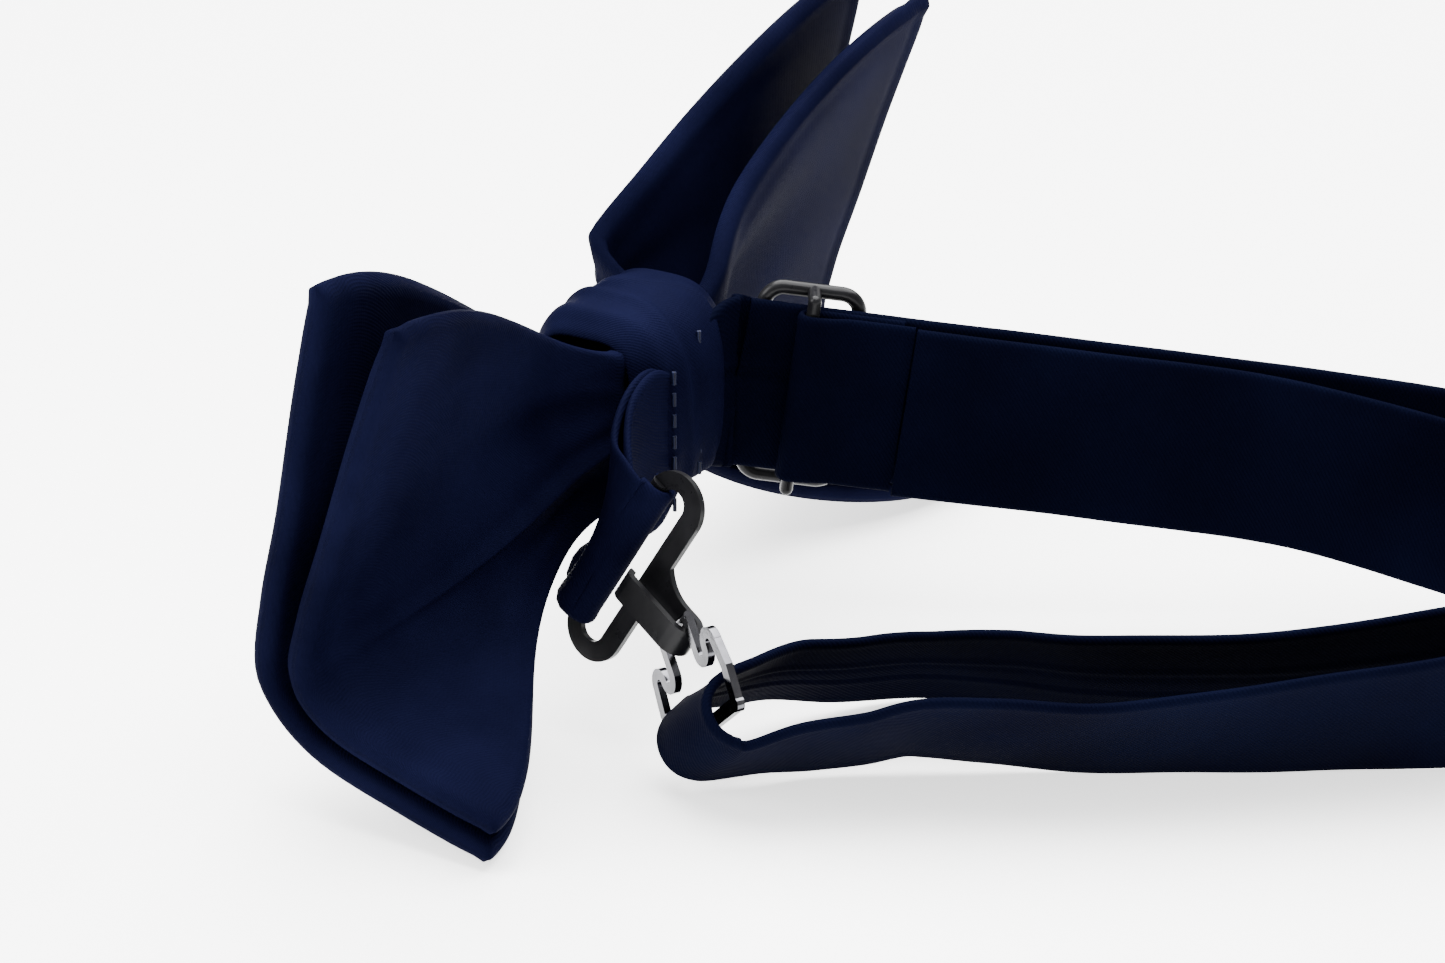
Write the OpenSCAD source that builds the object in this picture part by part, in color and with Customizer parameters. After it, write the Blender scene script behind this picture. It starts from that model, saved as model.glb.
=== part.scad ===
// Pre-tied bow tie with an adjustable neck band and a hook clasp.
// The bow stands on the lower corners of its wings, with the band trailing behind it.
// X runs across the bow, -Y is the front of the bow and Z is up.

/* [Bow] */
// Half of the bow's width from wing tip to wing tip
wing_reach = 60; // [50:1:70]
// How far each bow layer stands off the fold line
layer_offset = 1.9; // [1.6:0.1:2.5]
// Thickness of one folded bow layer
layer_t = 2.8; // [2:0.1:3.2]
// Extra spread of the two layers at their top corners
top_spread = 3.2; // [0:0.2:5]

// Extra height of the far wing's upper corner
far_lift = 6; // [0:0.5:8]

/* [Knot] */
// Width of the band wrapped round the middle
knot_w = 21; // [16:1:28]
// Depth of the knot from front to back
knot_d = 17; // [13:0.5:22]
// Height of the knot
knot_h = 24; // [20:0.5:30]
// Thickness of the wrapped cloth
wrap_t = 1.2; // [0.8:0.1:2]

/* [Neck band] */
// Width of the neck band
band_w = 22; // [18:1:26]
// Thickness of the folded band
band_t = 1.0; // [0.8:0.1:1.6]
// Width of the band where it passes through the eye
loop_w = 14.8; // [14:0.2:17]
// Angle between the trailing band and the front-to-back line
trail_angle = 30; // [0:5:60]

/* [Hook] */
// Length of the hook's slotted frame
hook_l = 27; // [24:0.5:30]
// Length of the slot for the tab
slot_l = 22.6; // [20:0.2:24]
// Thickness of the hook's sheet metal
hook_t = 0.8; // [0.6:0.1:1.2]
// Width of the hook's tongue
tongue_w = 3.4; // [3:0.1:5]
// Clear gap inside the folded tongue
tongue_gap = 3.2; // [2:0.1:4]
// Roll, pitch and yaw of the hook as it hangs
hook_turn = [76, 27, 44];

/* [Eye] */
// Distance between the eye's narrow and wide bars
eye_l = 12; // [10:0.5:16]
// Width of the eye's stamped arms
arm_w = 1.3; // [1:0.1:2]
// Thickness of the eye's sheet metal
eye_t = 0.9; // [0.6:0.1:1.2]
// Roll, pitch and yaw of the eye as it hangs
eye_turn = [89, 48, 28];

/* [Slider] */
// Length of the slider along the band, between wire centres
slider_l = 11.6; // [10:0.2:16]
// Wire diameter of the slider frame
slider_wire = 1.8; // [1.4:0.1:2.4]
// Distance of the slider from the knot's middle
slider_at = 20.6; // [18:0.2:40]

/* [Hidden] */
$fn = 48;
// Moves the whole bow tie so that its box is centred on the origin
centre = [0, -56.7, -0.05];
seam_gap = 0.2;
knot_z = 32;
band_slope = 7.6;
band_x = -2.6;
band_z0 = 33.2;
straight_end = 70;
sew_back = knot_d / 2 + 0.1;
hook_at = [30.9, 1.2, 22.5];
rear_bar_x = -2.9;
rear_bar_r = 1.1;
bend_x = 10;
bend_z = hook_t / 2 + tongue_gap / 2;
cross_r = 0.55;
slider_wall = 24.6;
centre_bar_x = 2.35;
centre_bar_r = 0.8;
fold_t = 0.8;
fold_l = 12.2;
slack_gap = 0.3;
slack_l = 34;
navy = [0.06, 0.08, 0.17];
deep_navy = [0.04, 0.05, 0.12];
canvas = [0.75, 0.73, 0.68];
enamel = [0.03, 0.03, 0.03];
gunmetal = [0.42, 0.44, 0.47];
thread = [0.05, 0.06, 0.13];

// ---- vectors ----
function unit(v) = v / norm(v);
function turn_x(a, v) = [v[0], v[1] * cos(a) - v[2] * sin(a), v[1] * sin(a) + v[2] * cos(a)];
function turn_y(a, v) = [v[0] * cos(a) + v[2] * sin(a), v[1], -v[0] * sin(a) + v[2] * cos(a)];
function turn_z(a, v) = [v[0] * cos(a) - v[1] * sin(a), v[0] * sin(a) + v[1] * cos(a), v[2]];
function turned(r, v) = turn_z(r[2], turn_y(r[1], turn_x(r[0], v)));
function mix(a, b, k) = a * (1 - k) + b * k;
function ease(k) = k <= 0 ? 0 : k >= 1 ? 1 : k * k * (3 - 2 * k);

// ---- smooth line through stations, each a list of numbers ----
function curve4(a, b, c, d, k) = 0.5 * (2 * b + (c - a) * k + (2 * a - 5 * b + 4 * c - d) * k * k
    + (3 * b - a - 3 * c + d) * k * k * k);
function smooth_line(p, steps) = let (n = len(p) - 1) concat(
    [for (i = [0:n - 1]) for (j = [0:steps - 1])
        curve4(p[max(i - 1, 0)], p[i], p[i + 1], p[min(i + 2, n)], j / steps)], [p[n]]);

// ---- closed solid from rings of equal length ----
module skin(rings) {
    n = len(rings[0]);
    m = len(rings);
    points = [for (r = rings) each r];
    sides = [for (i = [0:m - 2]) for (j = [0:n - 1]) let (k = (j + 1) % n)
        each [[i * n + j, i * n + k, (i + 1) * n + k], [i * n + j, (i + 1) * n + k, (i + 1) * n + j]]];
    e = (m - 1) * n;
    first = [for (j = [0:n / 2 - 2]) each [[j + 1, j, n - 1 - j], [n - 2 - j, j + 1, n - 1 - j]]];
    last = [for (j = [0:n / 2 - 2]) each
        [[e + j, e + j + 1, e + n - 1 - j], [e + j + 1, e + n - 2 - j, e + n - 1 - j]]];
    polyhedron(points, concat(sides, first, last));
}

// ---- closed pocket: an outer skin and an inner skin, open at the first ring ----
module pocket(outer, inner) {
    n = len(outer[0]);
    m = len(outer);
    o = m * n;
    points = concat([for (r = outer) each r], [for (r = inner) each r]);
    walls = [for (i = [0:m - 2]) for (j = [0:n - 1]) let (k = (j + 1) % n)
        each [[i * n + j, i * n + k, (i + 1) * n + k], [i * n + j, (i + 1) * n + k, (i + 1) * n + j],
            [o + i * n + k, o + i * n + j, o + (i + 1) * n + k],
            [o + (i + 1) * n + k, o + i * n + j, o + (i + 1) * n + j]]];
    rim = [for (j = [0:n - 1]) let (k = (j + 1) % n) each [[k, j, o + j], [k, o + j, o + k]]];
    e = (m - 1) * n;
    h = n / 2;
    caps = [for (j = [0:h - 2]) each [
        [e + j, e + j + 1, e + n - 1 - j], [e + j + 1, e + n - 2 - j, e + n - 1 - j],
        [o + e + j + 1, o + e + j, o + e + n - 1 - j], [o + e + n - 2 - j, o + e + j + 1, o + e + n - 1 - j]]];
    polyhedron(points, concat(walls, rim, caps));
}

// ---- ribbon along stations of [x, y, z, outward flare, width] ----
function flat3(s) = [s[0], s[1], s[2]];
function ribbon_rings(s, t) = [for (i = [0:len(s) - 1]) let (
    way = unit(flat3(s[min(i + 1, len(s) - 1)]) - flat3(s[max(i - 1, 0)])),
    out = unit([-way[1], way[0], 0]),
    tall = cos(s[i][3]) * [0, 0, 1] + sin(s[i][3]) * out,
    w = unit(tall - (tall * way) * way),
    n = cross(way, w),
    c = flat3(s[i]))
    [c - w * s[i][4] / 2 - n * t / 2, c - w * s[i][4] / 2 + n * t / 2,
     c + w * s[i][4] / 2 + n * t / 2, c + w * s[i][4] / 2 - n * t / 2]];
module ribbon(s, t) skin(ribbon_rings(s, t));

// ---- ribbon whose width direction is stated at each station: [centre, width vector] ----
function aimed_rings(s, t) = [for (i = [0:len(s) - 1]) let (
    way = unit(s[min(i + 1, len(s) - 1)][0] - s[max(i - 1, 0)][0]),
    w = s[i][1] - (s[i][1] * way) * way,
    n = cross(way, unit(w)) * t / 2,
    c = s[i][0])
    [c - w / 2 - n, c - w / 2 + n, c + w / 2 + n, c + w / 2 - n]];
module aimed_ribbon(s, t) skin(aimed_rings(s, t));

module placed() translate(centre) children();
// The band, the clasp and the slider are laid out along the trailing direction
module trail() placed() rotate([0, 0, trail_angle]) children();

// ---- bow layers ----
// Fold line of a wing tip, from its lower corner to its upper corner, as [y, z]
tip_fold = [[19, 3.8], [7.5, 6.8], [-3.5, 10.6], [-8.6, 16.6], [-7.4, 25], [-4, 36], [-0.3, 49], [4, 62.6]];
// Fold line inside the knot
knot_fold = [[0, 23.4], [0.1, 25.8], [0, 28.2], [-0.2, 30.6], [-0.2, 33], [0, 35.5], [0.1, 38], [0, 40.6]];
bow_x = [0, 6, 11, 14, 18, 23, 29, 36, 43, 50, 55.5, 60];
// The wing at -X opens out of the knot sooner and stands taller
function flare(x) = ease(pow(max(0, (abs(x) - 9) / (wing_reach - 9)), x < 0 ? 0.55 : 0.8));
function lift(x, up) = x < 0 ? far_lift * up * flare(x) : 0;
function fold_at(x) = let (k = flare(x), d = pow(k, 2))
    [for (i = [0:7]) [mix(knot_fold[i][0], tip_fold[i][0], d),
        mix(knot_fold[i][1], tip_fold[i][1], k) + lift(x, i / 7)]];
function fold_line(x) = smooth_line(fold_at(x), 3);
// side = 1 for the front layer, -1 for the back layer; d is a further offset towards the front
function layer_line(x, side, d, inset) = let (p = fold_line(x), n = len(p) - 1, k = flare(x))
    [for (i = [0:n]) let (
        way = unit(p[min(i + 1, n)] - p[max(i - 1, 0)]),
        front = [-way[1], way[0]],
        up = i / n,
        off = side * mix(2.1, layer_offset + top_spread * pow(up, 3), k) + d,
        end = i == 0 ? inset : i == n ? -inset : 0)
        [x, p[i][0] + front[0] * off + way[0] * end, p[i][1] + front[1] * off + way[1] * end]];
function reversed(a) = [for (i = [len(a) - 1:-1:0]) a[i]];
function layer_ring(x, side, half, inset) =
    concat(layer_line(x, side, half, inset), reversed(layer_line(x, side, -half, inset)));
function layer_rings(side, half, inset, tip_gap) = let (
    right = [for (x = bow_x) min(x, wing_reach - tip_gap)],
    all = concat([for (i = [len(right) - 1:-1:1]) -right[i]], right))
    [for (x = all) layer_ring(x, side, half, inset)];

// Each wing is a pocket of folded cloth; the two pockets meet at the seam behind the knot
function outwards(ring) = [for (p = ring) [abs(p[0]), p[1], p[2]]];
function wing_rings(side, hand, half, inset, tip_gap) = [for (i = [0:len(bow_x) - 1])
    let (x = i == 0 ? seam_gap / 2 : min(bow_x[i], wing_reach - tip_gap))
    outwards(layer_ring(hand * x, side, half, inset))];
module bow_cloth(side) placed() for (hand = [1, -1]) mirror([hand < 0 ? 1 : 0, 0, 0])
    pocket(wing_rings(side, hand, layer_t / 2, 0, 0),
        wing_rings(side, hand, layer_t / 2 - 0.7, 0.9, 0.9));
module bow_stiffener(side) placed() skin(layer_rings(side, 0.3, 1.6, 1.4));

module front_bow() color(navy) bow_cloth(1);
module back_bow() color(navy) bow_cloth(-1);
module front_stiffener() color(canvas) bow_stiffener(1);
module back_stiffener() color(canvas) bow_stiffener(-1);

// ---- knot ----
module round_bar_outline(w, h, r) union() {
    square([w - 2 * r, h], center = true);
    square([w, h - 2 * r], center = true);
    for (x = [-1, 1], y = [-1, 1]) translate([x * (w / 2 - r), y * (h / 2 - r)]) circle(r);
}
module knot_wrap() color(navy) placed() translate([0, 0, knot_z]) rotate([90, 0, 90])
    linear_extrude(knot_w, center = true) difference() {
        round_bar_outline(knot_d, knot_h, 6.5);
        round_bar_outline(knot_d - 2 * wrap_t, knot_h - 2 * wrap_t, 5.3);
    }

// Thread bound round the pinched middle of both bow layers, under the wrap
gather_gap = 9.2;
module gather_thread() color(thread) placed() translate([0, 0, knot_z]) for (x = [-3.2, 0, 3.2])
    translate([x, 0, 0]) rotate([90, 0, 90]) linear_extrude(0.6, center = true) difference() {
        round_bar_outline(gather_gap + 1.2, 20.8, 3.2);
        round_bar_outline(gather_gap, 19.6, 2.6);
    }

// Hand stitches that close the wrap at the back, under the tab and the band
stitch_r = 0.25;
module wrap_stitches() color(thread) placed() for (i = [0:4])
    translate([3.15, knot_d / 2 + stitch_r + 0.02, knot_z + 5.2 - i * 2.6])
        rotate([0, 75, 0]) cylinder(h = 1.9, r = stitch_r, center = true, $fn = 16);

// ---- neck band ----
function band_z(y) = band_z0 - tan(band_slope) * y;
// From the knot's back, through the slider, round the neck and back to the clasp
root_route = [[5.9, 7.2, 32, 0, band_w], [3.1, 8.8, 32, 0, band_w], [0.3, 10.5, 31.9, 0, band_w],
    [-1.9, 12.1, 31.7, 0, band_w], [band_x, 13.7, band_z(13.7), 0, band_w]];
neck_route = [[band_x, straight_end, band_z(straight_end), 0, band_w], [-2.4, 84, 22, 0, band_w],
    [-1.4, 98, 20, 3, band_w], [1.8, 111, 17.8, 5, band_w], [8.4, 121.6, 15.8, 7, band_w],
    [18, 127.4, 14, 9, band_w], [28.4, 125.6, 12.6, 12, band_w], [36.4, 117.4, 11.8, 15, band_w],
    [40.8, 106, 11.2, 19, band_w], [42.8, 94, 10.5, 26, band_w], [44.2, 79, 9.6, 33, band_w],
    [45.2, 65, 8.9, 39, band_w], [45.8, 52, 8.5, 43, 21.6], [46, 41, 9.4, 45, 21],
    [46, 33, 9.8, 46, 20.4], [46.1, 27.4, 8.6, 46, 19.6]];
module neck_band() color(navy) trail() {
    ribbon(concat(smooth_line(root_route, 3), smooth_line(neck_route, 2)), band_t);
}

// The inner strand comes back from the eye to the slider
return_route = [[29.6, 26.8, 8.9, -42, 19.6], [27.4, 34.4, 8.2, -42, 20.4], [28.6, 44, 8.4, -41, 21],
    [31.4, 53, 8.7, -40, 21.6], [32.8, 65, 9.2, -38, band_w], [32.8, 78, 9.6, -34, band_w],
    [32, 92, 10.4, -27, band_w], [31, 103, 11, -22, band_w], [26.8, 111.6, 11.8, -17, band_w],
    [20.6, 115, 13, -11, band_w], [13, 112.6, 14.6, -7, band_w], [7.2, 105, 16.6, -5, band_w],
    [4.2, 95, 19, -3, band_w], [2.6, 84, 21.6, 0, band_w], [1.2, 76, 22.9, 0, band_w]];
slack_from = slider_at + fold_l + slack_gap;
slack_x = 1.1;
slack_to = slack_from + slack_l;
module return_band() color(navy) trail()
    ribbon(smooth_line(concat(return_route,
        [[slack_x, slack_to + 0.4, band_z(slack_to + 0.4), 0, band_w]]), 2), band_t);

// The straight stretch of inner strand that gathers up as the slider moves
module slack_band() color(navy) trail() translate([slack_x, slack_from, band_z(slack_from)])
    rotate([-band_slope, 0, 0]) translate([-band_t / 2, 0, -band_w / 2])
        cube([band_t, slack_l, band_w]);

// The band's bight round the eye's wide bar
eye_x = turned(eye_turn, [1, 0, 0]);
eye_y = turned(eye_turn, [0, 1, 0]);
eye_n = turned(eye_turn, [0, 0, 1]);
hook_x = turned(hook_turn, [1, 0, 0]);
hook_y = turned(hook_turn, [0, 1, 0]);
hook_n = turned(hook_turn, [0, 0, 1]);
eye_at = hook_at + 9.5 * hook_x + bend_z * hook_n;
wide_bar = eye_at + eye_l * eye_x;
function by_bar(e, m, w, lift = 0) = [wide_bar + e * eye_x + m * eye_n + lift * eye_y, eye_y * w];
function aim(x, y, z, lean, w) = [[x, y, z], w * [sin(lean), 0, cos(lean)]];
bight = [aim(46.3, 24.9, 8.3, 46, 19.2), aim(46.8, 20, 7.9, 46, 18.4),
    by_bar(4.4, -2.6, loop_w, 0.6), by_bar(3.6, 0.4, loop_w), by_bar(2.1, 2.3, loop_w),
    by_bar(-0.1, 2.9, loop_w), by_bar(-2.2, 2.2, loop_w), by_bar(-3.7, 0.2, loop_w),
    by_bar(-4.5, -2.8, loop_w), aim(34.4, 17.4, 11, 44, 18), aim(30.3, 25, 9.2, 42, 19.2)];
module clasp_bight() color(navy) trail() aimed_ribbon(smooth_line(bight, 2), band_t);

// Rows of thread that sew the band's end and the tab's end to the knot
module stitch_row(x, y, count, pitch) placed() for (i = [0:count - 1])
    translate([x, y, knot_z + (i - (count - 1) / 2) * pitch])
        cylinder(h = 1.6, r = stitch_r, center = true, $fn = 16);
module band_stitches() color(thread) stitch_row(0.6, 10.05, 7, 2.8);
module tab_stitches() color(thread) translate([0, 0, -2.4]) stitch_row(7.4, 10.65, 7, 2.7);

// ---- hook tab ----
tab_w = 20.4;
tab_t = 0.8;
rear_bar = hook_at + rear_bar_x * hook_x;
tab_mid = rear_bar_r + 0.1 + tab_t / 2;
// One leg of the tab, from the knot's back to the hook's rear bar; s = 1 is the outer leg
function tab_leg(s) = [
    [[10.1, 5.1, 29.6] + s * 0.46 * [0.5, 0.87, 0], [0, 0, tab_w]],
    [[14.3, 2.7, 29.6] + s * 0.46 * [0.5, 0.87, 0], [0, 0, tab_w]],
    [[19.2, 0.1, 28.8] + s * 0.5 * [0.36, 0.93, 0], [0.03, 0.1, 0.99] * tab_w],
    [[24, -1.5, 26.8] + s * 0.7 * [0.1, 0.99, 0], [0.1, 0.24, 0.96] * tab_w],
    [rear_bar - 2 * hook_x - s * (tab_mid - 0.3) * hook_n, hook_y * tab_w]];
function tab_bight() = [for (a = [0:15:180])
    [rear_bar + tab_mid * (sin(a) * hook_x - cos(a) * hook_n), hook_y * tab_w]];
module hook_tab() color(navy) trail()
    aimed_ribbon(concat(tab_leg(1), tab_bight(), reversed(tab_leg(-1))), tab_t);

// ---- hook ----
module hook_frame_2d() difference() {
    union() {
        translate([0.1, 0]) round_bar_outline(8.2, hook_l, 4.05);
        difference() {
            translate([3, -7]) square([7, 14]);
            for (s = [-1, 1]) translate([8.4, s * (tongue_w / 2 + 5.6)]) circle(5.6);
            for (s = [-1, 1]) translate([8.4, s * (tongue_w / 2 + 5) - 5]) square([2, 10]);
        }
    }
    translate([-0.1, 0]) round_bar_outline(3.4, slot_l, 1.65);
    translate([-5, -slot_l / 2 + 1]) square([3.5, slot_l - 2]);
}
module hook() color(enamel) trail() translate(hook_at) rotate(hook_turn) {
    linear_extrude(hook_t, center = true) hook_frame_2d();
    // rolled rear bar that the tab turns on
    translate([rear_bar_x, 0, 0]) rotate([90, 0, 0]) cylinder(h = slot_l - 1.6, r = rear_bar_r, center = true);
    // folded tongue
    translate([bend_x, 0, bend_z]) rotate([90, 0, 0]) difference() {
        cylinder(h = tongue_w, r = tongue_gap / 2 + hook_t, center = true);
        cylinder(h = tongue_w + 1, r = tongue_gap / 2, center = true);
        translate([-5, 0, 0]) cube([10, 10, tongue_w + 1], center = true);
    }
    translate([2.8, -tongue_w / 2, bend_z + tongue_gap / 2]) cube([bend_x - 2.8, tongue_w, hook_t]);
    translate([2.8, 0, bend_z + tongue_gap / 2 - 0.6]) rotate([90, 0, 0]) difference() {
        cylinder(h = tongue_w, r = hook_t + 0.6, center = true);
        cylinder(h = tongue_w + 1, r = 0.6, center = true);
        translate([5, 0, 0]) cube([10, 10, tongue_w + 1], center = true);
        translate([0, -5, 0]) cube([10, 10, tongue_w + 1], center = true);
    }
}

// ---- eye ----
module half_ring(r, w, side) intersection() {
    difference() {
        circle(r + w / 2);
        circle(r - w / 2);
    }
    translate([side > 0 ? 0 : -10, -10]) square([10, 20]);
}
module eye_arm_2d() {
    translate([0, 3.85 - arm_w / 2]) square([4.4, arm_w]);
    translate([4.4, 5.1]) half_ring(1.25, arm_w, 1);
    translate([4.4, 7.6]) half_ring(1.25, arm_w, -1);
    polygon([[4.4, 8.2], [7.6, 8.75], [11.6, 8.3], [11.6, 9.7], [7.6, 10.1], [4.4, 9.5]]);
    translate([4.4, 8.85]) circle(arm_w / 2);
    translate([eye_l - 0.1, 8.9]) circle(0.9);
}
module eye() color(gunmetal) trail() translate(eye_at) rotate(eye_turn) {
    rotate([90, 0, 0]) cylinder(h = 8.6, r = cross_r, center = true);
    linear_extrude(eye_t, center = true) {
        for (s = [0, 1]) mirror([0, s]) eye_arm_2d();
        translate([eye_l - 0.9, -8.9]) square([1.6, 17.8]);
    }
}

// ---- slider ----
module on_band(y) trail() translate([band_x, y, band_z(y)]) rotate([-band_slope, 0, 0]) children();
module rail(z, r) for (s = [-1, 1]) translate([0, 0, s * z]) rotate([90, 0, 0])
    cylinder(h = slider_l - 4.8, r = r, center = true);
module slider() color(enamel) on_band(slider_at) {
    r = slider_wire / 2;
    x0 = -band_t / 2 - 0.1 - r;
    half_z = slider_wall / 2;
    translate([x0, 0, 0]) {
        rail(half_z, r);
        for (s = [-1, 1]) translate([0, s * slider_l / 2, 0])
            cylinder(h = slider_wall - 4.8, r = r, center = true);
        for (s = [-1, 1], t = [-1, 1]) translate([0, s * (slider_l / 2 - 2.4), t * (half_z - 2.4)])
            rotate([s * t > 0 ? (s > 0 ? 0 : 180) : (s > 0 ? -90 : 90), 0, 0]) rotate([0, 90, 0])
                rotate([0, 0, 90]) rotate_extrude(angle = 90) translate([2.4, 0]) circle(r);
    }
    // raised centre bar on two posts
    translate([centre_bar_x, 0, 0]) cylinder(h = slider_wall, r = centre_bar_r, center = true);
    for (s = [-1, 1]) translate([0, 0, s * half_z]) {
        translate([x0, 0, 0]) rotate([0, 90, 0]) cylinder(h = centre_bar_x - x0, r = centre_bar_r);
        translate([centre_bar_x, 0, 0]) sphere(centre_bar_r);
    }
}

// The band's end, folded round the centre bar and sewn to itself
fold_in = centre_bar_r + 0.1;
fold_out = fold_in + fold_t;
function fold_arc(r, a0, a1) = [for (i = [0:12]) let (a = mix(a0, a1, i / 12))
    [centre_bar_x + r * cos(a), r * sin(a)]];
module sewn_end() color(navy) on_band(slider_at) linear_extrude(band_w, center = true)
    polygon(concat(fold_arc(fold_out, 180, 360),
        [[centre_bar_x + fold_out, 1.4], [centre_bar_x + fold_t, 4.6], [centre_bar_x + fold_t, fold_l],
            [centre_bar_x, fold_l], [centre_bar_x, 4.4], [centre_bar_x + fold_in, 1.2]],
        fold_arc(fold_in, 360, 180),
        [[centre_bar_x - fold_in, fold_l - 1], [centre_bar_x - fold_out, fold_l - 1]]));
module sewn_end_stitches() color(thread) on_band(slider_at) for (y = [4.9, fold_l - 1.6], i = [0:7])
    translate([centre_bar_x - fold_in + 0.05, y, -9.1 + i * 2.6]) rotate([0, 90, 0])
        cylinder(h = 0.75, r = 0.25, $fn = 16);

front_bow();
back_bow();
front_stiffener();
back_stiffener();
knot_wrap();
gather_thread();
wrap_stitches();
neck_band();
return_band();
slack_band();
clasp_bight();
band_stitches();
tab_stitches();
hook_tab();
hook();
eye();
slider();
sewn_end();
sewn_end_stitches();
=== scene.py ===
import math

import bpy
import numpy as np
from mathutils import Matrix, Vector


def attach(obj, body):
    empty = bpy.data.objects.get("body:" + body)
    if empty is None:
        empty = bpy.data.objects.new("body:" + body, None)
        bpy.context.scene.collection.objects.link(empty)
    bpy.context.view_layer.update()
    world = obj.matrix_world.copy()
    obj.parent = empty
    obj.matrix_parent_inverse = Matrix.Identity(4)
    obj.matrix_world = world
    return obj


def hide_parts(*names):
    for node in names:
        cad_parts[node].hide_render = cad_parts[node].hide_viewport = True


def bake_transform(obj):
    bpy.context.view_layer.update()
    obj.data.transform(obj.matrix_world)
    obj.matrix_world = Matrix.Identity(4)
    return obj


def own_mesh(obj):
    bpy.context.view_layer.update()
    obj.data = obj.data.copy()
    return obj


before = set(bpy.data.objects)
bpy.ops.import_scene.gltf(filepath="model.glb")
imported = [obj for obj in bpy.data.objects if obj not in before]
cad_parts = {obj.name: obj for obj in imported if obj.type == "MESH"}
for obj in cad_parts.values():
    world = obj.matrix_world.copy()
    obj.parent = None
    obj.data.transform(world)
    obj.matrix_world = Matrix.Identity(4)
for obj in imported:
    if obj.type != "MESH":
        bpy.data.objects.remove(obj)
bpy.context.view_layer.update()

# ---------------------------------------------------------------- frames
# Sizes below are in millimetres. BOW is the frame of the bow: the knot stands over its origin.
# TRAIL is the same frame turned 30 degrees, with the neck band running out along +Y.
CENTRE = np.array([0, -56.7, -0.05])
TRAIL_TURN = math.radians(30)
TRAIL = np.array([[math.cos(TRAIL_TURN), -math.sin(TRAIL_TURN), 0],
                  [math.sin(TRAIL_TURN), math.cos(TRAIL_TURN), 0],
                  [0, 0, 1]])


def from_bow(p):
    return (np.asarray(p, float) + CENTRE) / 1000


def from_trail(p):
    return (np.asarray(p, float) @ TRAIL.T + CENTRE) / 1000


def turn_matrix(roll, pitch, yaw):
    a, b, c = (math.radians(v) for v in (roll, pitch, yaw))
    about_x = np.array([[1, 0, 0], [0, math.cos(a), -math.sin(a)], [0, math.sin(a), math.cos(a)]])
    about_y = np.array([[math.cos(b), 0, math.sin(b)], [0, 1, 0], [-math.sin(b), 0, math.cos(b)]])
    about_z = np.array([[math.cos(c), -math.sin(c), 0], [math.sin(c), math.cos(c), 0], [0, 0, 1]])
    return about_z @ about_y @ about_x


def unit(v):
    v = np.asarray(v, float)
    return v / np.maximum(np.linalg.norm(v, axis=-1, keepdims=True), 1e-9)


def ease(k):
    k = np.clip(k, 0, 1)
    return k * k * (3 - 2 * k)


def bump(x, middle, width):
    return np.exp(-((x - middle) / width) ** 2)


def smooth_line(points, steps):
    """Catmull-Rom line through points, each a row of numbers."""
    p = np.asarray(points, float)
    n = len(p) - 1
    rows = []
    for i in range(n):
        a, b, c, d = p[max(i - 1, 0)], p[i], p[i + 1], p[min(i + 2, n)]
        for j in range(steps):
            k = j / steps
            rows.append(0.5 * (2 * b + (c - a) * k + (2 * a - 5 * b + 4 * c - d) * k * k
                               + (3 * b - a - 3 * c + d) * k ** 3))
    return np.array(rows + [p[n]])


# ---------------------------------------------------------------- meshes
def tube_mesh(name, rings):
    """A closed skin over rings of equal length, rings[i][j] in metres."""
    rings = np.asarray(rings, float)
    m, n = rings.shape[:2]
    verts = rings.reshape(-1, 3).tolist()
    faces = [(i * n + j, i * n + (j + 1) % n, (i + 1) * n + (j + 1) % n, (i + 1) * n + j)
             for i in range(m - 1) for j in range(n)]
    for i, flip in ((0, True), (m - 1, False)):
        half = n // 2
        for j in range(half - 1):
            quad = (i * n + j, i * n + j + 1, i * n + n - 2 - j, i * n + n - 1 - j)
            faces.append(tuple(reversed(quad)) if flip else quad)
    mesh = bpy.data.meshes.new(name)
    mesh.from_pydata(verts, [], faces)
    mesh.validate()
    across = np.linalg.norm(np.diff(rings, axis=1, append=rings[:, :1]), axis=2)
    u = np.concatenate([np.zeros((m, 1)), np.cumsum(across, axis=1)], axis=1)
    along = np.linalg.norm(np.diff(rings, axis=0), axis=2).mean(axis=1)
    v = np.concatenate([[0], np.cumsum(along)])
    layer = mesh.uv_layers.new(name="cloth")
    for poly in mesh.polygons:
        columns = [mesh.loops[k].vertex_index % n for k in poly.loop_indices]
        wraps = max(columns) - min(columns) > n // 2 and len(set(columns)) == 2
        for k in poly.loop_indices:
            i, j = divmod(mesh.loops[k].vertex_index, n)
            column = n if wraps and j == 0 else j
            layer.data[k].uv = (u[i, column] * 1000, v[i] * 1000)
    obj = bpy.data.objects.new(name, mesh)
    bpy.context.scene.collection.objects.link(obj)
    for poly in mesh.polygons:
        poly.use_smooth = True
    for edge in mesh.edges:
        rows = {v // n for v in edge.vertices}
        if rows == {0} or rows == {m - 1}:
            edge.use_edge_sharp = True
    return obj


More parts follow.
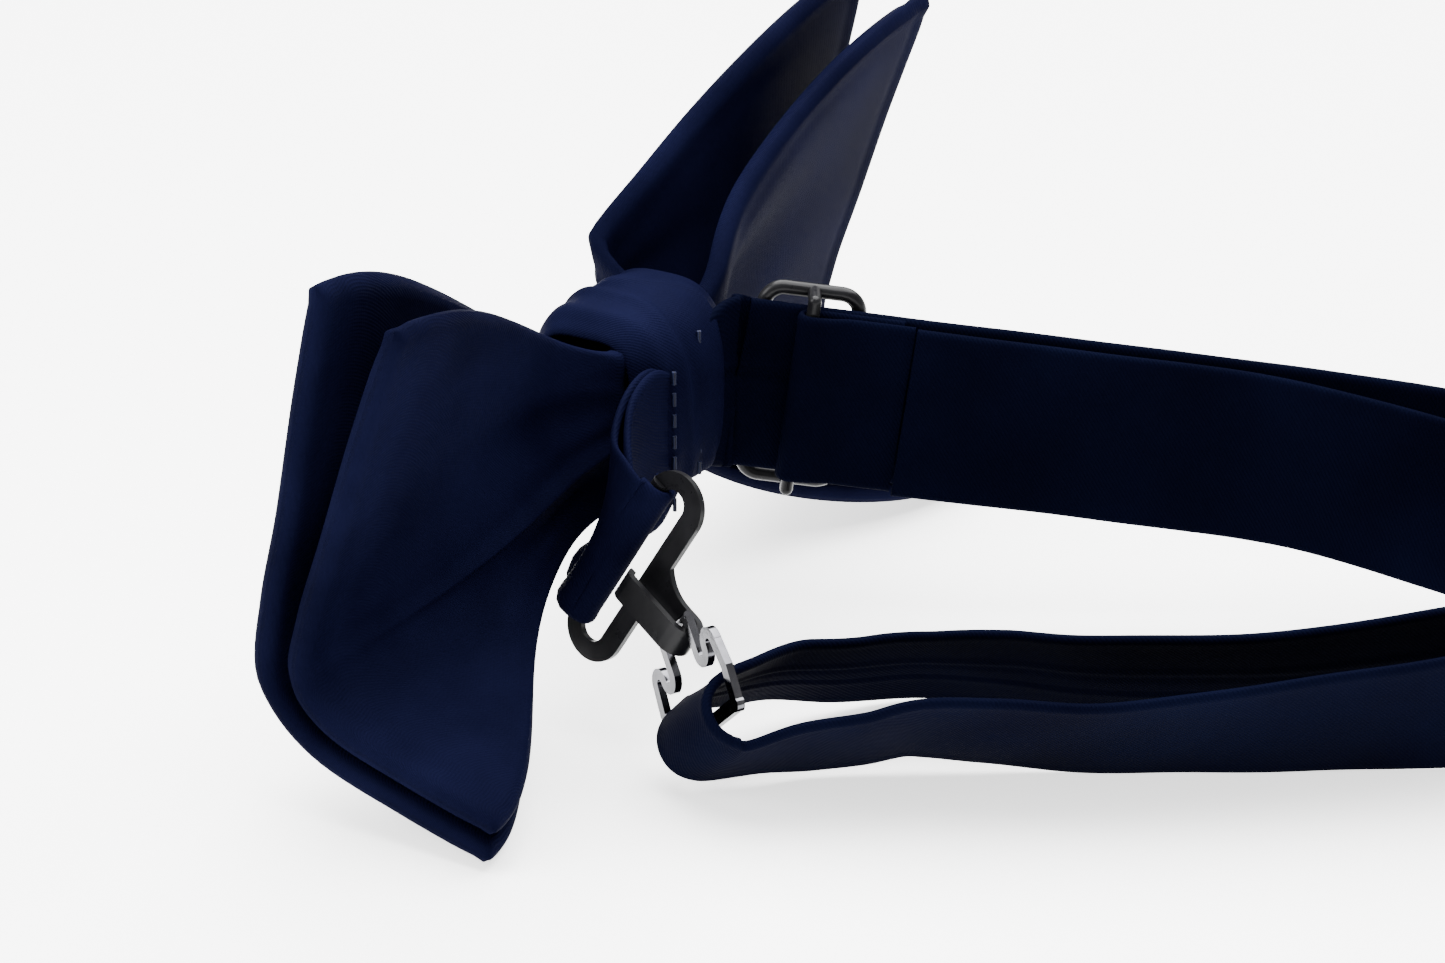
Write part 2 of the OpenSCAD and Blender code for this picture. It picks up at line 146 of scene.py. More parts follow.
def ring_torus(name, rings):
    """A closed ring of cross-sections: the last joins the first."""
    rings = np.asarray(rings, float)
    m, n = rings.shape[:2]
    verts = rings.reshape(-1, 3).tolist()
    faces = [(i * n + j, i * n + (j + 1) % n, ((i + 1) % m) * n + (j + 1) % n, ((i + 1) % m) * n + j)
             for i in range(m) for j in range(n)]
    mesh = bpy.data.meshes.new(name)
    mesh.from_pydata(verts, [], faces)
    mesh.validate()
    along = np.linalg.norm(np.diff(rings, axis=0, append=rings[:1]), axis=2).mean(axis=1)
    v = np.concatenate([[0], np.cumsum(along)])
    across = np.linalg.norm(np.diff(rings, axis=1, append=rings[:, :1]), axis=2).mean(axis=0)
    u = np.concatenate([[0], np.cumsum(across)])
    layer = mesh.uv_layers.new(name="cloth")
    for poly in mesh.polygons:
        ids = [divmod(mesh.loops[k].vertex_index, n) for k in poly.loop_indices]
        row_wraps = max(a for a, _ in ids) - min(a for a, _ in ids) > m // 2
        column_wraps = max(b for _, b in ids) - min(b for _, b in ids) > n // 2
        for k, (i, j) in zip(poly.loop_indices, ids):
            layer.data[k].uv = (u[n if column_wraps and j == 0 else j] * 1000,
                                v[m if row_wraps and i == 0 else i] * 1000)
    obj = bpy.data.objects.new(name, mesh)
    bpy.context.scene.collection.objects.link(obj)
    for poly in mesh.polygons:
        poly.use_smooth = True
    return obj


# ---------------------------------------------------------------- materials
def node_material(name):
    mat = bpy.data.materials.new(name)
    mat.use_nodes = True
    nodes = mat.node_tree.nodes
    nodes.clear()
    out = nodes.new("ShaderNodeOutputMaterial")
    shader = nodes.new("ShaderNodeBsdfPrincipled")
    mat.node_tree.links.new(shader.outputs["BSDF"], out.inputs["Surface"])
    return mat, mat.node_tree, shader


def set_value(shader, **values):
    for key, value in values.items():
        shader.inputs[key.replace("_", " ")].default_value = value


def mapped(tree, source, scale, turn=0.0):
    coord = tree.nodes.new("ShaderNodeTexCoord")
    mapping = tree.nodes.new("ShaderNodeMapping")
    mapping.inputs["Scale"].default_value = (scale, scale, scale)
    mapping.inputs["Rotation"].default_value = (0, 0, math.radians(turn))
    tree.links.new(coord.outputs[source], mapping.inputs["Vector"])
    return mapping.outputs["Vector"]


def colour_ramp(tree, factor, stops):
    ramp = tree.nodes.new("ShaderNodeValToRGB")
    while len(ramp.color_ramp.elements) < len(stops):
        ramp.color_ramp.elements.new(0.5)
    for element, (at, colour) in zip(ramp.color_ramp.elements, stops):
        element.position = at
        element.color = (*colour, 1)
    tree.links.new(factor, ramp.inputs["Fac"])
    return ramp.outputs["Color"]


def noise(tree, vector, scale, detail=3.0):
    tex = tree.nodes.new("ShaderNodeTexNoise")
    tex.inputs["Scale"].default_value = scale
    tex.inputs["Detail"].default_value = detail
    tree.links.new(vector, tex.inputs["Vector"])
    return tex.outputs["Fac"]


def stripes(tree, vector, scale, distortion=0.0):
    tex = tree.nodes.new("ShaderNodeTexWave")
    tex.inputs["Scale"].default_value = scale
    tex.inputs["Distortion"].default_value = distortion
    tree.links.new(vector, tex.inputs["Vector"])
    return tex.outputs["Fac"]


def bumped(tree, height, strength, distance, normal=None):
    node = tree.nodes.new("ShaderNodeBump")
    node.inputs["Strength"].default_value = strength
    node.inputs["Distance"].default_value = distance
    tree.links.new(height, node.inputs["Height"])
    if normal is not None:
        tree.links.new(normal, node.inputs["Normal"])
    return node.outputs["Normal"]


def cloth_material(name, dark, light, weave_pitch, weave_turn, rough, sheen, sheen_tint, creases=0.25,
                   weave_strength=0.25):
    """Woven cloth: a diagonal weave in the cloth's own coordinates, soft mottling and small creases."""
    mat, tree, shader = node_material(name)
    weave_at = mapped(tree, "UV", 1.0, weave_turn)
    weave = stripes(tree, weave_at, 0.314 / weave_pitch)
    cross_at = mapped(tree, "UV", 1.0, weave_turn + 63)
    cross = stripes(tree, cross_at, 0.22 / weave_pitch)
    mixed = tree.nodes.new("ShaderNodeMath")
    mixed.operation = "MULTIPLY_ADD"
    mixed.inputs[1].default_value = 0.35
    tree.links.new(cross, mixed.inputs[0])
    tree.links.new(weave, mixed.inputs[2])
    body_at = mapped(tree, "Object", 1.0)
    mottle = noise(tree, body_at, 60, 4)
    colour = colour_ramp(tree, mottle, [(0.3, dark), (0.75, light)])
    tint = tree.nodes.new("ShaderNodeMixRGB")
    tint.blend_type = "MULTIPLY"
    tint.inputs["Fac"].default_value = 0.35
    shade = colour_ramp(tree, weave, [(0.0, (0.55, 0.55, 0.6)), (0.6, (1, 1, 1))])
    tree.links.new(colour, tint.inputs["Color1"])
    tree.links.new(shade, tint.inputs["Color2"])
    tree.links.new(tint.outputs["Color"], shader.inputs["Base Color"])
    wide = bumped(tree, noise(tree, body_at, 130, 3), creases, 0.0006)
    woven = bumped(tree, mixed.outputs["Value"], weave_strength, 0.00006, wide)
    tree.links.new(woven, shader.inputs["Normal"])
    spread = tree.nodes.new("ShaderNodeMapRange")
    spread.inputs["To Min"].default_value = rough - 0.06
    spread.inputs["To Max"].default_value = rough + 0.08
    tree.links.new(mottle, spread.inputs["Value"])
    tree.links.new(spread.outputs["Result"], shader.inputs["Roughness"])
    set_value(shader, Sheen_Weight=sheen, Sheen_Roughness=0.35, Sheen_Tint=(*sheen_tint, 1),
              IOR=1.12, Specular_IOR_Level=0.03, Specular_Tint=(0.6, 0.7, 1.0, 1))
    return mat


NAVY_DARK, NAVY_LIGHT = (0.0013, 0.0015, 0.0064), (0.0030, 0.0035, 0.0138)
satin = cloth_material("bow_satin", NAVY_DARK, NAVY_LIGHT, 0.34, 38, 0.55, 0.0, (0.25, 0.35, 1.0), 0.2, 0.5)
# The neck band's satin is the bow's navy satin drawn darker: painted shade, standing in for the shade the
# band and its strands lie in.
band_satin = cloth_material("band_satin", (0.0008, 0.0010, 0.0040), (0.0013, 0.0018, 0.0070),
                            0.40, 52, 0.62, 0.0,
                            (0.25, 0.35, 1.0), 0.25, 0.6)
canvas = cloth_material("stiffening_canvas", (0.42, 0.40, 0.35), (0.60, 0.57, 0.51), 0.7, 2, 0.85, 0.1,
                        (1, 0.97, 0.9), 0.2, 0.8)


def thread_material():
    mat, tree, shader = node_material("navy_thread")
    at = mapped(tree, "Object", 1.0, 35)
    twist = stripes(tree, at, 900, 1.5)
    tree.links.new(colour_ramp(tree, twist, [(0.2, (0.0015, 0.002, 0.008)), (0.8, (0.006, 0.009, 0.03))]),
                   shader.inputs["Base Color"])
    tree.links.new(bumped(tree, twist, 0.6, 0.0001), shader.inputs["Normal"])
    set_value(shader, Roughness=0.6, IOR=1.25)
    return mat


def glossy_material(name, low, high, metal, rough, coat):
    """Enamel or plating with faint mottling, tiny orange-peel ripples and a clear coat."""
    mat, tree, shader = node_material(name)
    at = mapped(tree, "Object", 1.0)
    cloud = noise(tree, at, 240, 4)
    tree.links.new(colour_ramp(tree, cloud, [(0.3, low), (0.7, high)]), shader.inputs["Base Color"])
    spread = tree.nodes.new("ShaderNodeMapRange")
    spread.inputs["To Min"].default_value = rough * 0.7
    spread.inputs["To Max"].default_value = rough * 1.5
    tree.links.new(noise(tree, at, 500, 5), spread.inputs["Value"])
    tree.links.new(spread.outputs["Result"], shader.inputs["Roughness"])
    tree.links.new(bumped(tree, noise(tree, at, 700, 2), 0.12, 0.0002), shader.inputs["Normal"])
    set_value(shader, Metallic=metal, Coat_Weight=coat, Coat_Roughness=0.08, Coat_IOR=1.15, IOR=1.2)
    return mat


thread = thread_material()
enamel = glossy_material("black_enamel", (0.002, 0.002, 0.0025), (0.006, 0.006, 0.007), 0.0, 0.28, 0.12)
plating = glossy_material("dark_plating", (0.045, 0.045, 0.05), (0.11, 0.11, 0.12), 1.0, 0.14, 0.3)


def finish_piece(obj, material, bodies, stands_for=(), subdivide=0):
    obj.data.materials.clear()
    obj.data.materials.append(material)
    if subdivide:
        mod = obj.modifiers.new("soft_surface", "SUBSURF")
        mod.levels = mod.render_levels = subdivide
    if isinstance(bodies, str):
        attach(obj, bodies)
    else:
        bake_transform(obj)
    if stands_for:
        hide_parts(*stands_for)
    return obj


# ---------------------------------------------------------------- bow
WING_REACH = 60.0
TIP_FOLD = [[19, 3.8], [7.5, 6.8], [-3.5, 10.6], [-8.6, 16.6], [-7.4, 25], [-4, 36], [-0.3, 49], [4, 62.6]]
KNOT_FOLD = [[0, 23.4], [0.1, 25.8], [0, 28.2], [-0.2, 30.6], [-0.2, 33], [0, 35.5], [0.1, 38], [0, 40.6]]
FOLD_STEPS = 8
FAR_LIFT = 6.0


def fold_section(x):
    """(points, normals towards the front, share of the way up, flare) of the fold line at x."""
    opening = max(0.0, (abs(x) - 9) / (WING_REACH - 9))
    flare = float(ease(opening ** (0.55 if x < 0 else 0.8)))
    sweep = flare ** 2
    lift = FAR_LIFT * flare * np.linspace(0, 1, len(TIP_FOLD)) if x < 0 else 0
    knot, tip = np.array(KNOT_FOLD), np.array(TIP_FOLD)
    mixed = np.stack([knot[:, 0] * (1 - sweep) + tip[:, 0] * sweep,
                      knot[:, 1] * (1 - flare) + tip[:, 1] * flare + lift], axis=1)
    line = smooth_line(mixed, FOLD_STEPS)
    way = unit(np.gradient(line, axis=0))
    front = np.stack([-way[:, 1], way[:, 0]], axis=1)
    return line, way, front, np.linspace(0, 1, len(line)), flare


def pleats(x, up, side):
    """Folds that run out of the knot and fade along the wing, in mm towards the layer's outer face."""
    away = abs(x) - 10.5
    if away < 0:
        return np.zeros_like(up)
    start = float(ease(away / 5))
    fade = math.exp(-(away / 17) ** 1.3)
    hand = 1 if x > 0 else -1
    wave = (np.sin(up * 19 + 0.7 * hand + 0.4 * side) + 0.55 * np.sin(up * 31 + 2.1 * hand)) * 0.5
    sharp = np.sign(wave) * np.abs(wave) ** 0.8
    long_fold = 1.3 * bump(up, 0.43, 0.035) * math.exp(-((away - 16) / 24) ** 2)
    valley = -2.6 * bump(up, 0.70 - 0.03 * side, 0.10) * math.exp(-((away - 15) / 17) ** 2)
    second = -0.8 * bump(up, 0.22, 0.05) * math.exp(-((away - 8) / 10) ** 2)
    return start * (0.85 * fade * sharp + long_fold + valley + second)


def puff(reach):
    """How far the far wing's front layer stands off in front as it leaves the knot."""
    return 8.5 * float(ease((reach - 8.5) / 5)) * math.exp(-(max(reach - 13, 0) / 17) ** 1.5)


def layer_section(x, side, half, inset, tip_round):
    line, way, front, up, flare = fold_section(x)
    off = side * (2.1 * (1 - flare) + (1.9 + 3.2 * up ** 3) * flare)
    off = off + side * (pleats(x, up, side) + 2.4 * bump(abs(x), 11.5, 5.5))
    if x < 0 and side > 0:
        off = off + puff(abs(x)) * (0.35 + 0.65 * up)
    back = WING_REACH - abs(x)
    if tip_round:
        rim = min(1.0, max(0.0, back / 1.3))
        swell = math.sqrt(max(1 - (1 - rim) ** 2, 0.0004))
        pinch = 1 - 0.16 * math.exp(-((back - 3.4) / 1.1) ** 2)
        half = half * swell * pinch
    edge = np.minimum(up, 1 - up) * np.linalg.norm(np.diff(line, axis=0), axis=1).sum()
    roll = np.sqrt(np.clip(1 - (1 - np.clip(edge / 1.3, 0, 1)) ** 2, 0.04, 1)) if tip_round else 1.0
    pinch = 1 - 0.14 * np.exp(-((edge - 3.2) / 1.0) ** 2) if tip_round else 1.0
    half_at = half * roll * pinch * np.ones_like(up)
    shift = np.zeros_like(up)
    shift[0], shift[-1] = inset, -inset
    middle = line + front * off[:, None] + way * shift[:, None]
    outer = middle + front * half_at[:, None]
    inner = middle - front * half_at[:, None]
    loop = np.concatenate([outer, inner[::-1]])
    return np.concatenate([np.full((len(loop), 1), x), loop], axis=1)


def wing_stations(reach, fine):
    half = np.concatenate([np.linspace(0, 10, 6), np.linspace(11.2, reach - 2, fine),
                           reach - np.array([1.3, 0.9, 0.55, 0.3, 0.12, 0.02])])
    return np.concatenate([-half[:0:-1], half])


def bow_layer(name, side, material, half, inset, reach, stands_for, tip_round):
    xs = wing_stations(reach, 46)
    rings = [from_bow(layer_section(x, side, half, inset, tip_round)) for x in xs]
    obj = tube_mesh(name, rings)
    return finish_piece(obj, material, "bow_and_band", stands_for)


front_cloth = bow_layer("front_bow_cloth", 1, satin, 1.4, 0, WING_REACH, ["front_bow"], True)
back_cloth = bow_layer("back_bow_cloth", -1, satin, 1.4, 0, WING_REACH, ["back_bow"], True)
front_canvas = bow_layer("front_canvas", 1, canvas, 0.3, 1.8,
                         WING_REACH - 1.6, ["front_stiffener"], False)
back_canvas = bow_layer("back_canvas", -1, canvas, 0.3, 1.8,
                        WING_REACH - 1.6, ["back_stiffener"], False)


# ---------------------------------------------------------------- knot
KNOT_W, KNOT_D, KNOT_H, KNOT_Z, WRAP_T = 21.0, 17.0, 24.0, 32.0, 1.2


def knot_ring(theta):
    """Section of the wrapped cloth at angle theta about X: x and height above the wrap's middle line."""
    half = KNOT_W / 2
    s = np.linspace(-1, 1, 41)
    x = s * half
    c, w = math.cos(theta), math.sin(theta)
    power = 2 / 3.2
    radius_y = np.sign(c) * abs(c) ** power * (KNOT_D / 2 - WRAP_T / 2)
    radius_z = np.sign(w) * abs(w) ** power * (KNOT_H / 2 - WRAP_T / 2)
    outward = unit([c / KNOT_D, w / KNOT_H])
    behind = max(0.0, c) ** 1.2
    swell = (2.1 * behind * np.exp(-((x - 1.5) / 8) ** 6)
             + 0.5 * (1 - s ** 2) - 1.5 * ease((np.abs(s) - 0.72) / 0.28))
    folds = (0.42 * bump(s, 0.34 + 0.16 * math.sin(theta * 2 + 0.6), 0.09)
             - 0.38 * bump(s, 0.12 + 0.2 * math.sin(theta * 2 + 0.3), 0.10)
             + 0.34 * bump(s, -0.30 + 0.18 * math.sin(theta * 3 + 1.9), 0.08)
             - 0.30 * bump(s, -0.58 + 0.12 * math.cos(theta * 2), 0.09)
             + 0.12 * np.sin(s * 13 + theta * 3))
    lift = swell + folds
    edge = (1 - np.abs(s)) * half
    roll = np.sqrt(np.clip(1 - (1 - np.clip(edge / 0.7, 0, 1)) ** 2, 0.05, 1)) * WRAP_T / 2
    rows = []
    for sign, order in ((1, slice(None)), (-1, slice(None, None, -1))):
        h = (lift + sign * roll)[order]
        rows.append(np.stack([x[order], radius_y + outward[0] * h,
                             KNOT_Z + radius_z + outward[1] * h], axis=1))
    return np.concatenate(rows)


knot = ring_torus("knot_cloth", [from_bow(knot_ring(t)) for t in np.linspace(0, 2 * math.pi, 145)[:-1]])
finish_piece(knot, satin, "bow_and_band", ["knot_wrap"])


# ---------------------------------------------------------------- straps
def strap_rings(path, thick, seam=0.0, ripple=0.0, phase=0.0):
    """Rings of a folded woven strap. path rows are centre x, y, z and the width vector x, y, z, in TRAIL."""
    path = np.asarray(path, float)
    centre, wide = path[:, :3], path[:, 3:6]
    way = unit(np.gradient(centre, axis=0))
    wide = wide - (wide * way).sum(1, keepdims=True) * way
    width = np.linalg.norm(wide, axis=1)
    across = unit(wide)
    normal = np.cross(way, across)
    run = np.concatenate([[0], np.cumsum(np.linalg.norm(np.diff(centre, axis=0), axis=1))])
    s = np.concatenate([[-1, -0.985, -0.95, -0.9], np.linspace(-0.82, 0.82, 27), [0.9, 0.95, 0.985, 1]])
    rings = []
    for i in range(len(path)):
        edge = (1 - np.abs(s)) * width[i] / 2
        roll = np.sqrt(np.clip(1 - (1 - np.clip(edge / 0.5, 0, 1)) ** 2, 0.03, 1))
        half = thick / 2 * roll * (1 + 0.22 * bump(edge, 0.8, 0.5))
        ground = ripple * (math.sin(run[i] / 7.3 + phase) * np.cos(s * 1.7 + run[i] / 23)
                           + 0.6 * math.sin(run[i] / 3.9 + 1.3 * phase) * np.sin(s * 2.6 + run[i] / 11))
        ridge = seam * (bump(s, 0.22, 0.05) - 0.8 * bump(s, 0.10, 0.05) + 0.7 * bump(s, -0.34, 0.04)
                        - 0.5 * bump(s, -0.26, 0.04))
        high = ground + half + ridge
        low = ground - half
        top = centre[i] + across[i] * (s * width[i] / 2)[:, None] + normal[i] * high[:, None]
        bottom = (centre[i] + across[i] * (s * width[i] / 2)[:, None] + normal[i] * low[:, None])[::-1]
        rings.append(np.concatenate([bottom[::-1], top[::-1]]))
    return np.array(rings)


def upright(rows):
    """Stations [x, y, z, flare, width] as centre and width vector; the flare leans left of travel."""
    p = np.asarray(rows, float)
    way = unit(np.gradient(p[:, :3], axis=0))
    out = unit(np.stack([-way[:, 1], way[:, 0], 0 * way[:, 0]], axis=1))
    lean = np.radians(p[:, 3])[:, None]
    tall = np.cos(lean) * np.array([0, 0, 1.0]) + np.sin(lean) * out
    return np.concatenate([p[:, :3], tall * p[:, 4:5]], axis=1)


BAND_W, BAND_T = 22.0, 1.0
BAND_X, BAND_Z0, BAND_SLOPE = -2.6, 33.2, math.radians(7.6)


def band_z(y):
    return BAND_Z0 - math.tan(BAND_SLOPE) * y


OUTER_ROUTE = [
    [5.9, 6.6, 32, 0, 14], [3.1, 8.4, 32, 0, 17.5], [0.3, 10.4, 31.9, 0, 20.6],
    [-1.9, 12.1, 31.7, 0, 21.7], [BAND_X, 13.7, band_z(13.7), 0, BAND_W],
    *[[BAND_X, y, band_z(y), 0, BAND_W] for y in (24, 36, 48, 60, 70)],
    [-2.4, 84, 22, 0, BAND_W], [-1.4, 98, 20, 3, BAND_W], [1.8, 111, 17.8, 5, BAND_W],
    [8.4, 121.6, 15.8, 7, BAND_W], [18, 127.4, 14, 9, BAND_W], [28.4, 125.6, 12.6, 12, BAND_W],
    [36.4, 117.4, 11.8, 15, BAND_W], [40.8, 106, 11.2, 19, BAND_W], [42.8, 94, 10.5, 26, BAND_W],
    [44.2, 79, 9.6, 33, BAND_W], [45.2, 65, 8.9, 39, BAND_W], [45.8, 52, 8.5, 43, 21.6],
    [46, 41, 9.4, 45, 21], [46, 33, 9.8, 46, 20.4]]
RETURN_ROUTE = [
    [27.4, 34.4, 8.2, -42, 20.4], [28.6, 44, 8.4, -41, 21],
    [31.4, 53, 8.7, -40, 21.6], [32.8, 65, 9.2, -38, BAND_W], [32.8, 78, 9.6, -34, BAND_W],
    [32, 92, 10.4, -27, BAND_W], [31, 103, 11, -22, BAND_W], [26.8, 111.6, 11.8, -17, BAND_W],
    [20.6, 115, 13, -11, BAND_W], [13, 112.6, 14.6, -7, BAND_W], [7.2, 105, 16.6, -5, BAND_W],
    [4.2, 95, 19, -3, BAND_W], [2.6, 84, 21.6, 0, BAND_W], [1.2, 76, 22.9, 0, BAND_W]]
SLIDER_AT, FOLD_L, SLACK_L, SLACK_X = 20.6, 12.2, 34.0, 1.1
SLACK_FROM = SLIDER_AT + FOLD_L + 0.3
SLACK_TO = SLACK_FROM + SLACK_L

hook_turn, eye_turn = turn_matrix(76, 27, 44), turn_matrix(89, 48, 28)
hook_x, hook_y, hook_n = hook_turn.T
eye_x, eye_y, eye_n = eye_turn.T
hook_at = np.array([30.9, 1.2, 22.5])
eye_at = hook_at + 9.5 * hook_x + 2.0 * hook_n
wide_bar = eye_at + 12.0 * eye_x
LOOP_W = 14.8


def by_bar(e, m, w, lift=0.0):
    return np.concatenate([wide_bar + e * eye_x + m * eye_n + lift * eye_y, eye_y * w])


def aim(x, y, z, lean, w):
    a = math.radians(lean)
    return np.array([x, y, z, w * math.sin(a), 0, w * math.cos(a)])


bight_rows = [aim(46.2, 26.8, 8.5, 46, 19.5), aim(46.8, 20, 7.9, 46, 18.4), by_bar(4.4, -2.6, LOOP_W, 0.6),
              by_bar(3.6, 0.4, LOOP_W), by_bar(2.1, 2.3, LOOP_W), by_bar(-0.1, 2.9, LOOP_W),
              by_bar(-2.2, 2.2, LOOP_W), by_bar(-3.7, 0.2, LOOP_W), by_bar(-4.5, -2.8, LOOP_W),
              aim(34.4, 17.4, 11, 44, 18), aim(29.9, 25.4, 8.9, 42, 19.4)]
outer_rows = upright(OUTER_ROUTE)
return_rows = upright(RETURN_ROUTE)
slack_rows = upright([[SLACK_X, y, band_z(y), 0, BAND_W]
                      for y in (SLACK_TO, SLACK_TO - 11, SLACK_TO - 22, SLACK_FROM)])
whole = smooth_line(np.concatenate([outer_rows, bight_rows, return_rows, slack_rows]), 9)
marks = {"outer_end": (len(outer_rows) - 2) * 9, "outer_near": (len(outer_rows) + 1) * 9,
         "inner_near": (len(outer_rows) + 9) * 9, "inner_end": (len(outer_rows) + len(bight_rows) + 1) * 9,
         "slack_start": (len(outer_rows) + len(bight_rows) + len(return_rows)) * 9}
strap = strap_rings(whole, BAND_T, seam=0.28, ripple=0.16, phase=0.8)


def strap_piece(name, first, last, bodies, stands_for):
    obj = tube_mesh(name, from_trail(strap[first:last + 1]))
    finish_piece(obj, band_satin, bodies, stands_for)
    flat_length = np.linalg.norm(np.diff(whole[first:last + 1, :3], axis=0), axis=1).sum() / 1000
    return obj, float(flat_length)


leg_from, leg_to = from_trail([38, 38, 9]), from_trail([40, 21, 9])
bar_from, bar_to = from_trail([41, 20.5, 9]), from_trail([42, 12.5, 11])
outer_cloth, outer_length = strap_piece("outer_band_cloth", 0, marks["outer_end"],
                                            "bow_and_band", ["neck_band"])
inner_cloth, inner_length = strap_piece("inner_band_cloth", marks["inner_end"], marks["slack_start"],
                                            "bow_and_band",
                                        ["return_band"])
outer_leg, outer_leg_length = strap_piece("outer_leg_cloth", marks["outer_end"], marks["outer_near"],
                                          ("bow_and_band", "hook", leg_from, leg_to), [])
inner_leg, inner_leg_length = strap_piece("inner_leg_cloth", marks["inner_near"], marks["inner_end"],
                                          ("bow_and_band", "hook", leg_from, leg_to), [])
bight, bight_length = strap_piece("bight_cloth", marks["outer_near"], marks["inner_near"],
                                  ("hook", "eye", bar_from, bar_to), ["clasp_bight"])
slack = tube_mesh("slack_cloth", from_trail(strap[marks["slack_start"]:]))
finish_piece(slack, band_satin, "bow_and_band", ["slack_band"])
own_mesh(slack)


# ---------------------------------------------------------------- the band's end, sewn round the slider's bar
def on_band(x, y):
    """A point of the slider's own plan, x off the band and y along it, with its width vector."""
    along = np.array([0, math.cos(BAND_SLOPE), -math.sin(BAND_SLOPE)])
    up = np.array([0, math.sin(BAND_SLOPE), math.cos(BAND_SLOPE)])
    point = np.array([BAND_X, SLIDER_AT, band_z(SLIDER_AT)]) + np.array([x, 0, 0]) + along * y
    return np.concatenate([point, up * (BAND_W - 0.4)])


BAR_X, BAR_R = 2.35, 0.8
wrap_r = BAR_R + 0.5
fold_rows = [on_band(BAR_X + 0.4, FOLD_L + 0.2), on_band(BAR_X + 0.4, 8), on_band(BAR_X + 0.45, 4.6),
             on_band(BAR_X + 1.0, 2.4)]
fold_rows += [on_band(BAR_X + wrap_r * math.cos(a), wrap_r * math.sin(a))
              for a in np.radians([10, -30, -70, -110, -150, -180])]
fold_rows += [on_band(BAR_X - 1.28, 2.4), on_band(BAR_X - 1.28, 6), on_band(BAR_X - 1.28, FOLD_L - 1)]
sewn_path = smooth_line(fold_rows, 6)
sewn = tube_mesh("sewn_end_cloth", from_trail(strap_rings(sewn_path, 0.78, seam=0.0, ripple=0.04)))
finish_piece(sewn, band_satin, "slider", ["sewn_end"])


# ---------------------------------------------------------------- hook tab
REAR_BAR = hook_at - 2.9 * hook_x
TAB_W, TAB_T, TAB_MID = 20.4, 0.8, 1.1 + 0.1 + 0.4


def tab_leg(s):
    shift = 0.46 * np.array([0.5, 0.87, 0])
    return [np.concatenate([[5.0, 6.6, 31] + s * 0.8 * shift, [0, 0, 12]]),
            np.concatenate([[10.1, 4.7, 30] + s * shift, [0, 0, 17]]),
            np.concatenate([[14.3, 2.7, 29.6] + s * shift, [0, 0, TAB_W]]),
            np.concatenate([[19.2, 0.1, 28.8] + s * 0.5 * np.array([0.36, 0.93, 0]),
                            np.array([0.03, 0.1, 0.99]) * TAB_W]),
            np.concatenate([[24, -1.5, 26.8] + s * 0.7 * np.array([0.1, 0.99, 0]),
                            np.array([0.1, 0.24, 0.96]) * TAB_W]),
            np.concatenate([REAR_BAR - 2 * hook_x - s * (TAB_MID - 0.3) * hook_n, hook_y * TAB_W])]


tab_rows = tab_leg(1)
tab_rows += [np.concatenate([REAR_BAR + TAB_MID * (math.sin(a) * hook_x - math.cos(a) * hook_n),
                             hook_y * TAB_W])
             for a in np.radians(np.arange(0, 181, 22.5))]
tab_rows += tab_leg(-1)[::-1]
tab_path = smooth_line(tab_rows, 6)
tab = tube_mesh("tab_cloth", from_trail(strap_rings(tab_path, TAB_T, ripple=0.05, phase=2.0)))
finish_piece(tab, satin, "bow_and_band", ["hook_tab"])

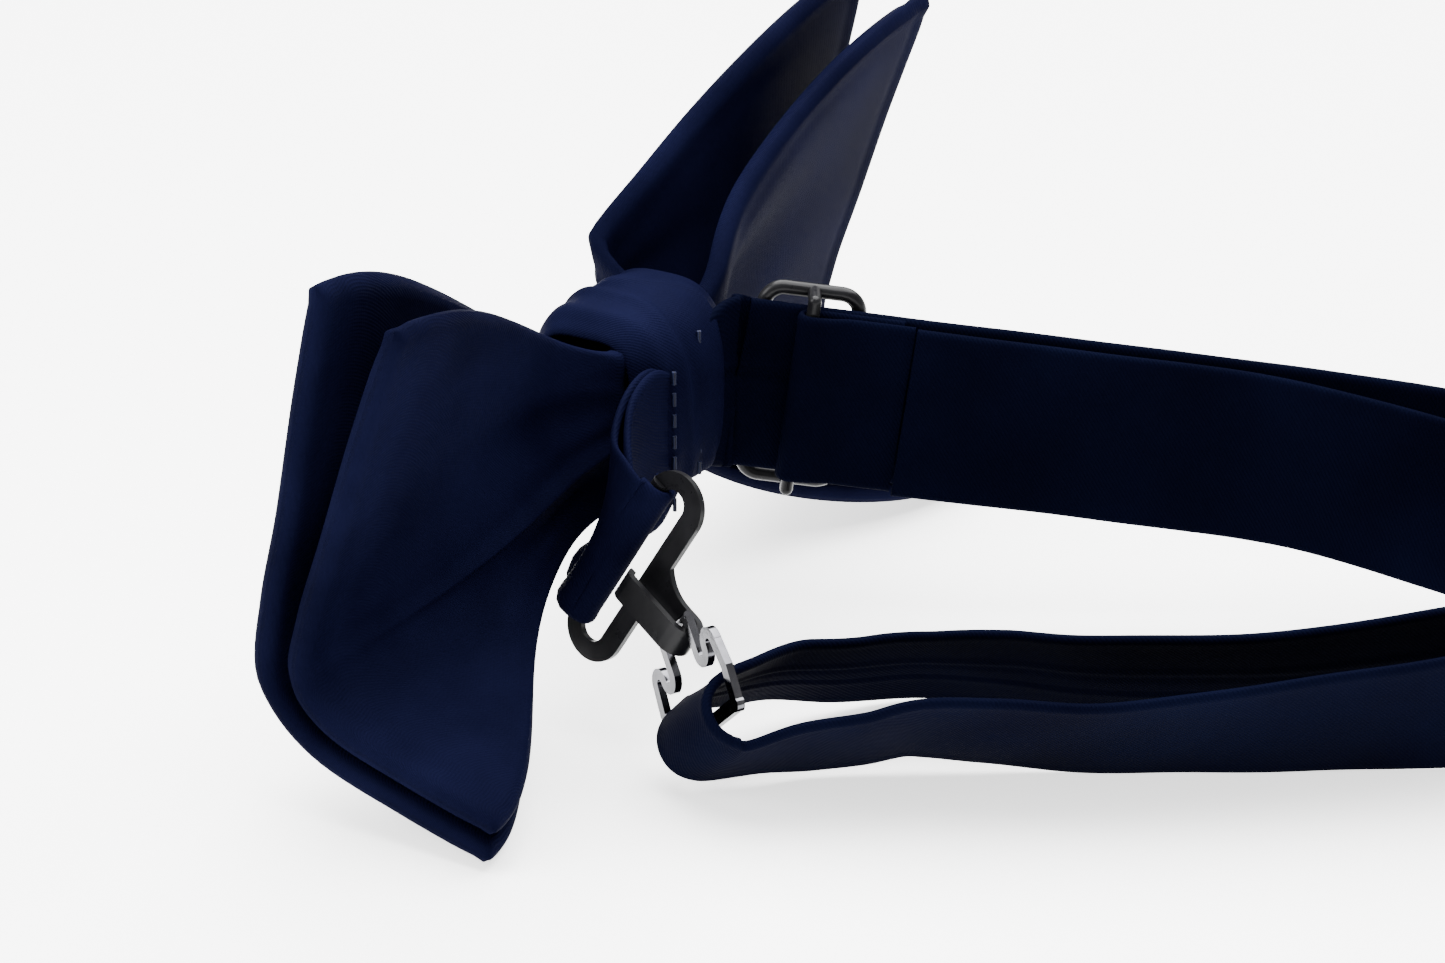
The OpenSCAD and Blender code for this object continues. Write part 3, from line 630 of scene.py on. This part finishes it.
# ---------------------------------------------------------------- pieces shown from the CAD
for name, material, width in (("hook", enamel, 0.00016), ("eye", plating, 0.00014),
                            ("slider", enamel, 0.00008)):
    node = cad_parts[name]
    node.data.materials.clear()
    node.data.materials.append(material)
    mod = node.modifiers.new("soft_edges", "BEVEL")
    mod.width = width
    mod.segments = 3
    mod.limit_method = "ANGLE"
    mod.angle_limit = math.radians(35)
    mod.harden_normals = False
for name in ("gather_thread", "wrap_stitches", "band_stitches", "tab_stitches", "sewn_end_stitches"):
    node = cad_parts[name]
    node.data.materials.clear()
    node.data.materials.append(thread)


# ---------------------------------------------------------------- floor, light and camera
def studio_floor():
    bpy.ops.mesh.primitive_plane_add(size=6, location=(0, 0, 0))
    floor = bpy.context.object
    floor.name = "studio_floor"
    mat, tree, shader = node_material("pale_tabletop")
    at = mapped(tree, "Object", 1.0)
    tree.links.new(colour_ramp(tree, noise(tree, at, 3, 2),
                               [(0.3, (0.86, 0.86, 0.865)), (0.7, (0.89, 0.89, 0.89))]),
                   shader.inputs["Base Color"])
    set_value(shader, Roughness=0.4, Specular_IOR_Level=0.25,
              Emission_Color=(1, 1, 1, 1), Emission_Strength=1.65)
    floor.data.materials.append(mat)


def softbox(name, place, target, size, power, colour=(1, 1, 1)):
    light = bpy.data.lights.new(name, "AREA")
    light.shape = "RECTANGLE"
    light.size, light.size_y = size
    light.energy = power
    light.color = colour
    obj = bpy.data.objects.new(name, light)
    obj.location = place
    obj.rotation_euler = (Vector(target) - Vector(place)).to_track_quat("-Z", "Y").to_euler()
    bpy.context.scene.collection.objects.link(obj)


studio_floor()
softbox("overhead", (-0.25, -0.05, 0.9), (0, 0, 0.02), (1.3, 1.3), 85)
softbox("side", (0.55, -0.55, 0.5), (0.03, -0.05, 0.03), (0.6, 0.5), 12)
world = bpy.data.worlds.new("studio")
bpy.context.scene.world = world
world.use_nodes = True
world.node_tree.nodes["Background"].inputs["Color"].default_value = (1, 1, 1, 1)
world.node_tree.nodes["Background"].inputs["Strength"].default_value = 0.85

camera_data = bpy.data.cameras.new("camera")
camera_data.lens = 85
camera_data.sensor_width = 36
camera_data.clip_start = 0.01
camera = bpy.data.objects.new("camera", camera_data)
bpy.context.scene.collection.objects.link(camera)
azimuth, elevation = math.radians(120), math.radians(24)
back = Vector((math.sin(azimuth) * math.cos(elevation), -math.cos(azimuth) * math.cos(elevation),
               math.sin(elevation)))
camera.location = Vector(from_bow([323.7, 199.8, 188.6]))
camera.rotation_euler = back.to_track_quat("Z", "Y").to_euler()
bpy.context.scene.camera = camera
